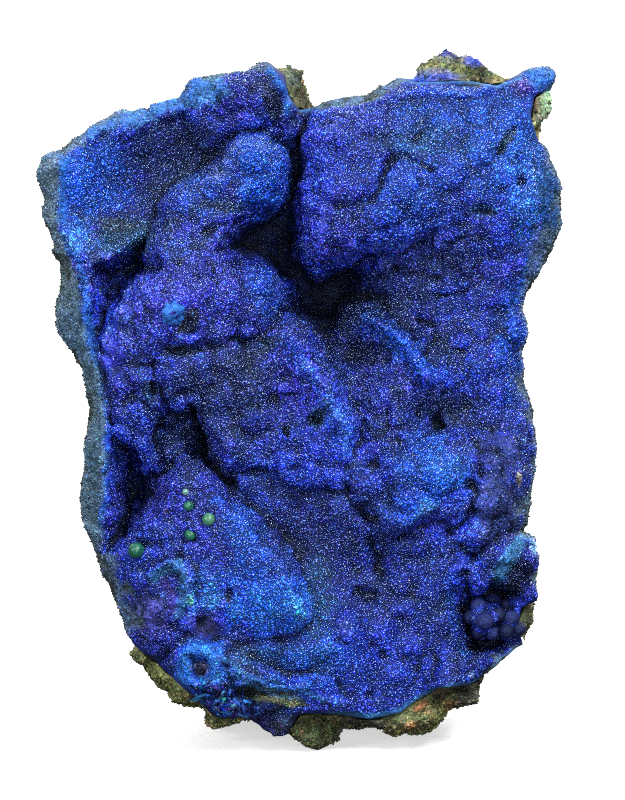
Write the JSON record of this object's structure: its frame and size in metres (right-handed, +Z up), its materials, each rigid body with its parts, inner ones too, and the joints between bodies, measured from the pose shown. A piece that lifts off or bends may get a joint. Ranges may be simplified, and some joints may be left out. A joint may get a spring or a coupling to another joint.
{
  "type": "azurite and malachite specimen",
  "caption": "Mineral specimen: a lumpy drusy blue azurite crust with deep hollows and small green malachite balls, on olive-brown host rock with a flat foot.",
  "frame": {"origin": "middle of the bounding box, on the surface that the flat foot stands on", "axes": "+Z up, -Y out of the drusy face, +X to the right as the face is seen"},
  "size_m": [0.0787, 0.0586, 0.1043],
  "materials": {
    "azurite": "drusy, glittering",
    "matrix": "rough, matte",
    "malachite": "silky"
  },
  "bodies": {
    "root": {"azurite": "azurite", "matrix": "matrix", "malachite_ball_1": "malachite", "malachite_ball_2": "malachite", "malachite_ball_3": "malachite", "malachite_ball_4": "malachite", "malachite_ball_5": "malachite"}
  },
  "joints": []
}
